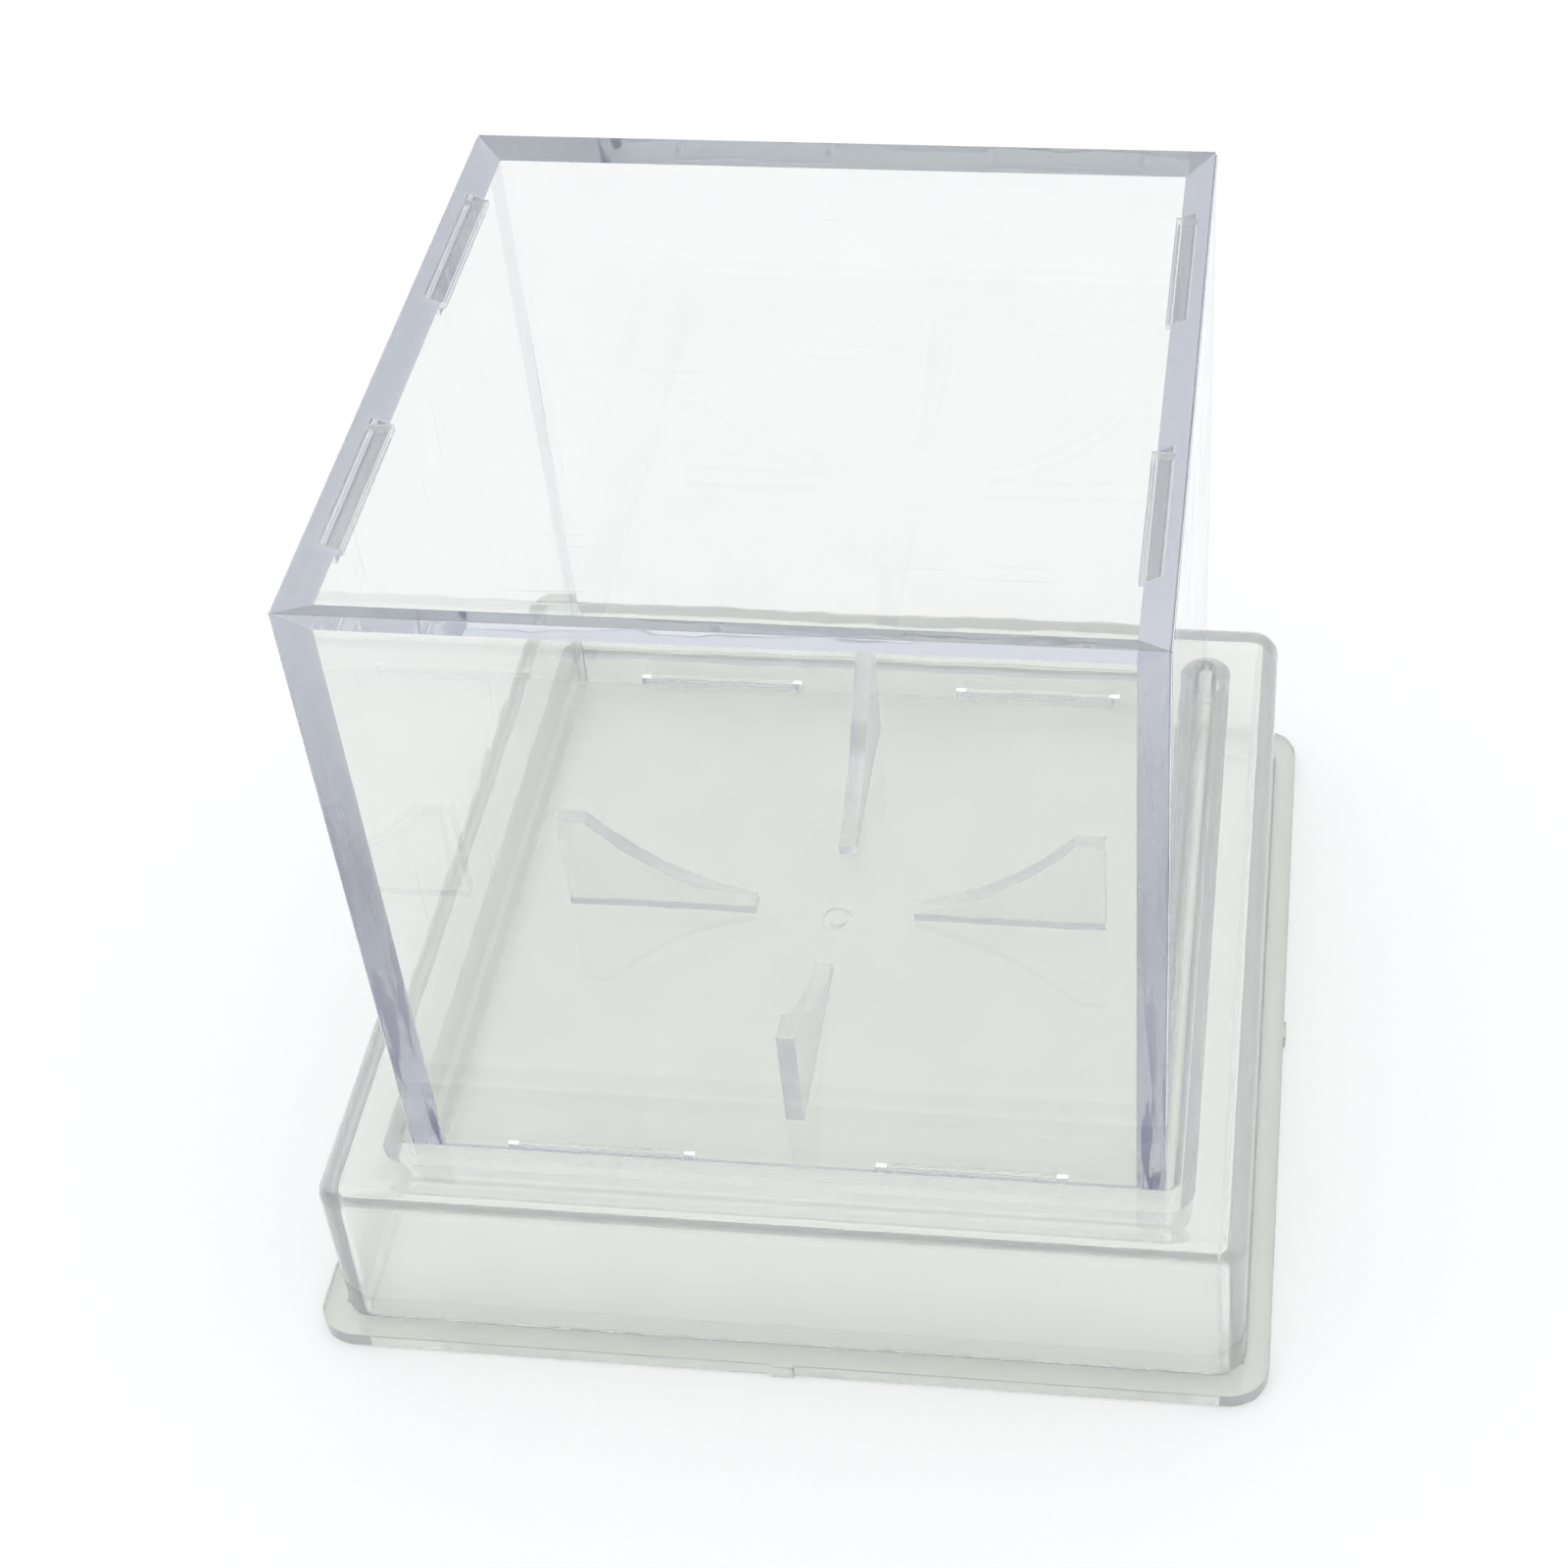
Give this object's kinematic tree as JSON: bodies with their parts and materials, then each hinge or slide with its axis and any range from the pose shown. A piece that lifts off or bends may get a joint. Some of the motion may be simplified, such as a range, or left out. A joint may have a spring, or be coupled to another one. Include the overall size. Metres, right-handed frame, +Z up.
{
  "type": "baseball display case",
  "caption": "Clear cube for one ball in interlocking mitred halves, with upright fins that cradle the ball, standing in the sunk pocket of a hollow stepped pedestal.",
  "frame": {"origin": "centre of the pedestal's underside, on the table", "axes": "+Z up, front towards -Y, the cover's walls face front and back and the cradle's walls face left and right"},
  "size_m": [0.1064, 0.1064, 0.0975],
  "materials": {
    "pedestal_plastic": "clear polished styrene, slightly milky in the thick",
    "cube_plastic": "clear polished styrene"
  },
  "bodies": {
    "pedestal": {"pedestal": "pedestal_plastic"},
    "cradle_half": {"cradle_half": "cube_plastic"},
    "cover_half": {"cover_half": "cube_plastic"}
  },
  "joints": [
    {"name": "cube_lift", "type": "slide", "parent": "pedestal", "child": "cradle_half", "axis": [0, 0, 1], "range_m": [0, 0.03]},
    {"name": "cover_lift", "type": "slide", "parent": "cradle_half", "child": "cover_half", "axis": [0, 0, 1], "range_m": [0, 0.09]}
  ]
}
